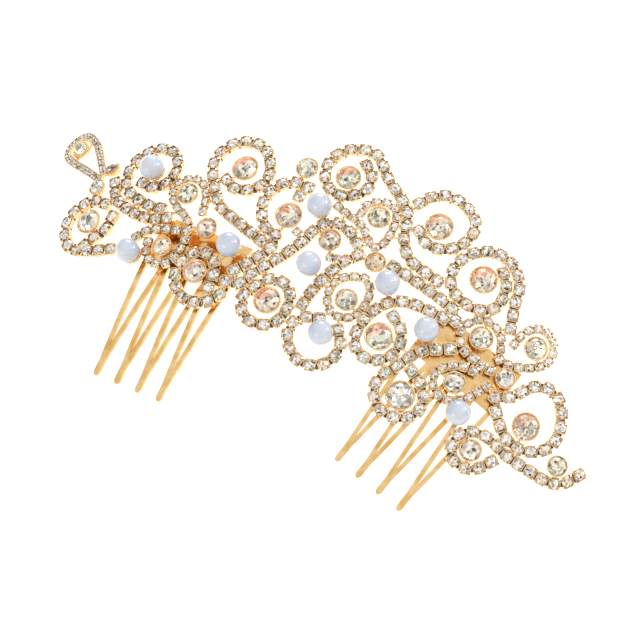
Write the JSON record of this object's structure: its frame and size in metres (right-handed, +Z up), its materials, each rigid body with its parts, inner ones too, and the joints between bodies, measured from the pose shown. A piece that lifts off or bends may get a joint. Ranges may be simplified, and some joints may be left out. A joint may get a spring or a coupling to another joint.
{
  "type": "hair comb",
  "caption": "Decorative hair comb: a filigree of looping stone-set chains in gold colour with pearls and crystals, on two small gold combs that grip the hair.",
  "frame": {"origin": "middle of the bounding box on the surface that the comb lies on", "axes": "+X along the ornament, to the right as it is worn and seen from the front; +Y across it, away from the comb tips; +Z up, away from the head"},
  "size_m": [0.156, 0.0794, 0.0317],
  "materials": {
    "gold": "polished gold plating on brass",
    "crystal": "foil-backed faceted glass",
    "pearl": "pearl lacquer, soft lustre"
  },
  "bodies": {
    "root": {"comb_left": "gold", "comb_right": "gold", "strand_left_scroll": "gold", "strand_pave_tear": "gold", "strand_pearl_loop_left": "gold", "strand_lower_row_left": "gold", "strand_vine_left": "gold", "strand_ring_left": "gold", "strand_long_loop_left": "gold", "strand_upper_loop_mid": "gold", "strand_column_mid": "gold", "strand_spine": "gold", "strand_small_loop_top": "gold", "strand_pearl_row_mid": "gold", "strand_ring_mid": "gold", "strand_double_row": "gold", "strand_right_loop": "gold", "strand_far_loop": "gold", "strand_small_rings_right": "gold", "strand_lower_right_loop": "gold", "strand_tail": "gold", "strand_ring_right": "gold", "strand_lower_loop": "gold", "strand_pearl_loop_low": "gold", "strand_low_loop": "gold", "crystal_01": "crystal", "crystal_02": "crystal", "crystal_03": "crystal", "crystal_04": "crystal", "crystal_05": "crystal", "crystal_06": "crystal", "crystal_07": "crystal", "crystal_08": "crystal", "crystal_09": "crystal", "crystal_10": "crystal", "crystal_11": "crystal", "crystal_12": "crystal", "crystal_13": "crystal", "crystal_14": "crystal", "crystal_15": "crystal", "crystal_16": "crystal", "crystal_17": "crystal", "crystal_18": "crystal", "crystal_19": "crystal", "crystal_20": "crystal", "crystal_21": "crystal", "crystal_22": "crystal", "crystal_23": "crystal", "crystal_24": "crystal", "crystal_25": "crystal", "crystal_26": "crystal", "pearl_1": "pearl", "pearl_2": "pearl", "pearl_3": "pearl", "pearl_4": "pearl", "pearl_5": "pearl", "pearl_6": "pearl", "pearl_7": "pearl", "pearl_8": "pearl", "pearl_9": "pearl"}
  },
  "joints": []
}
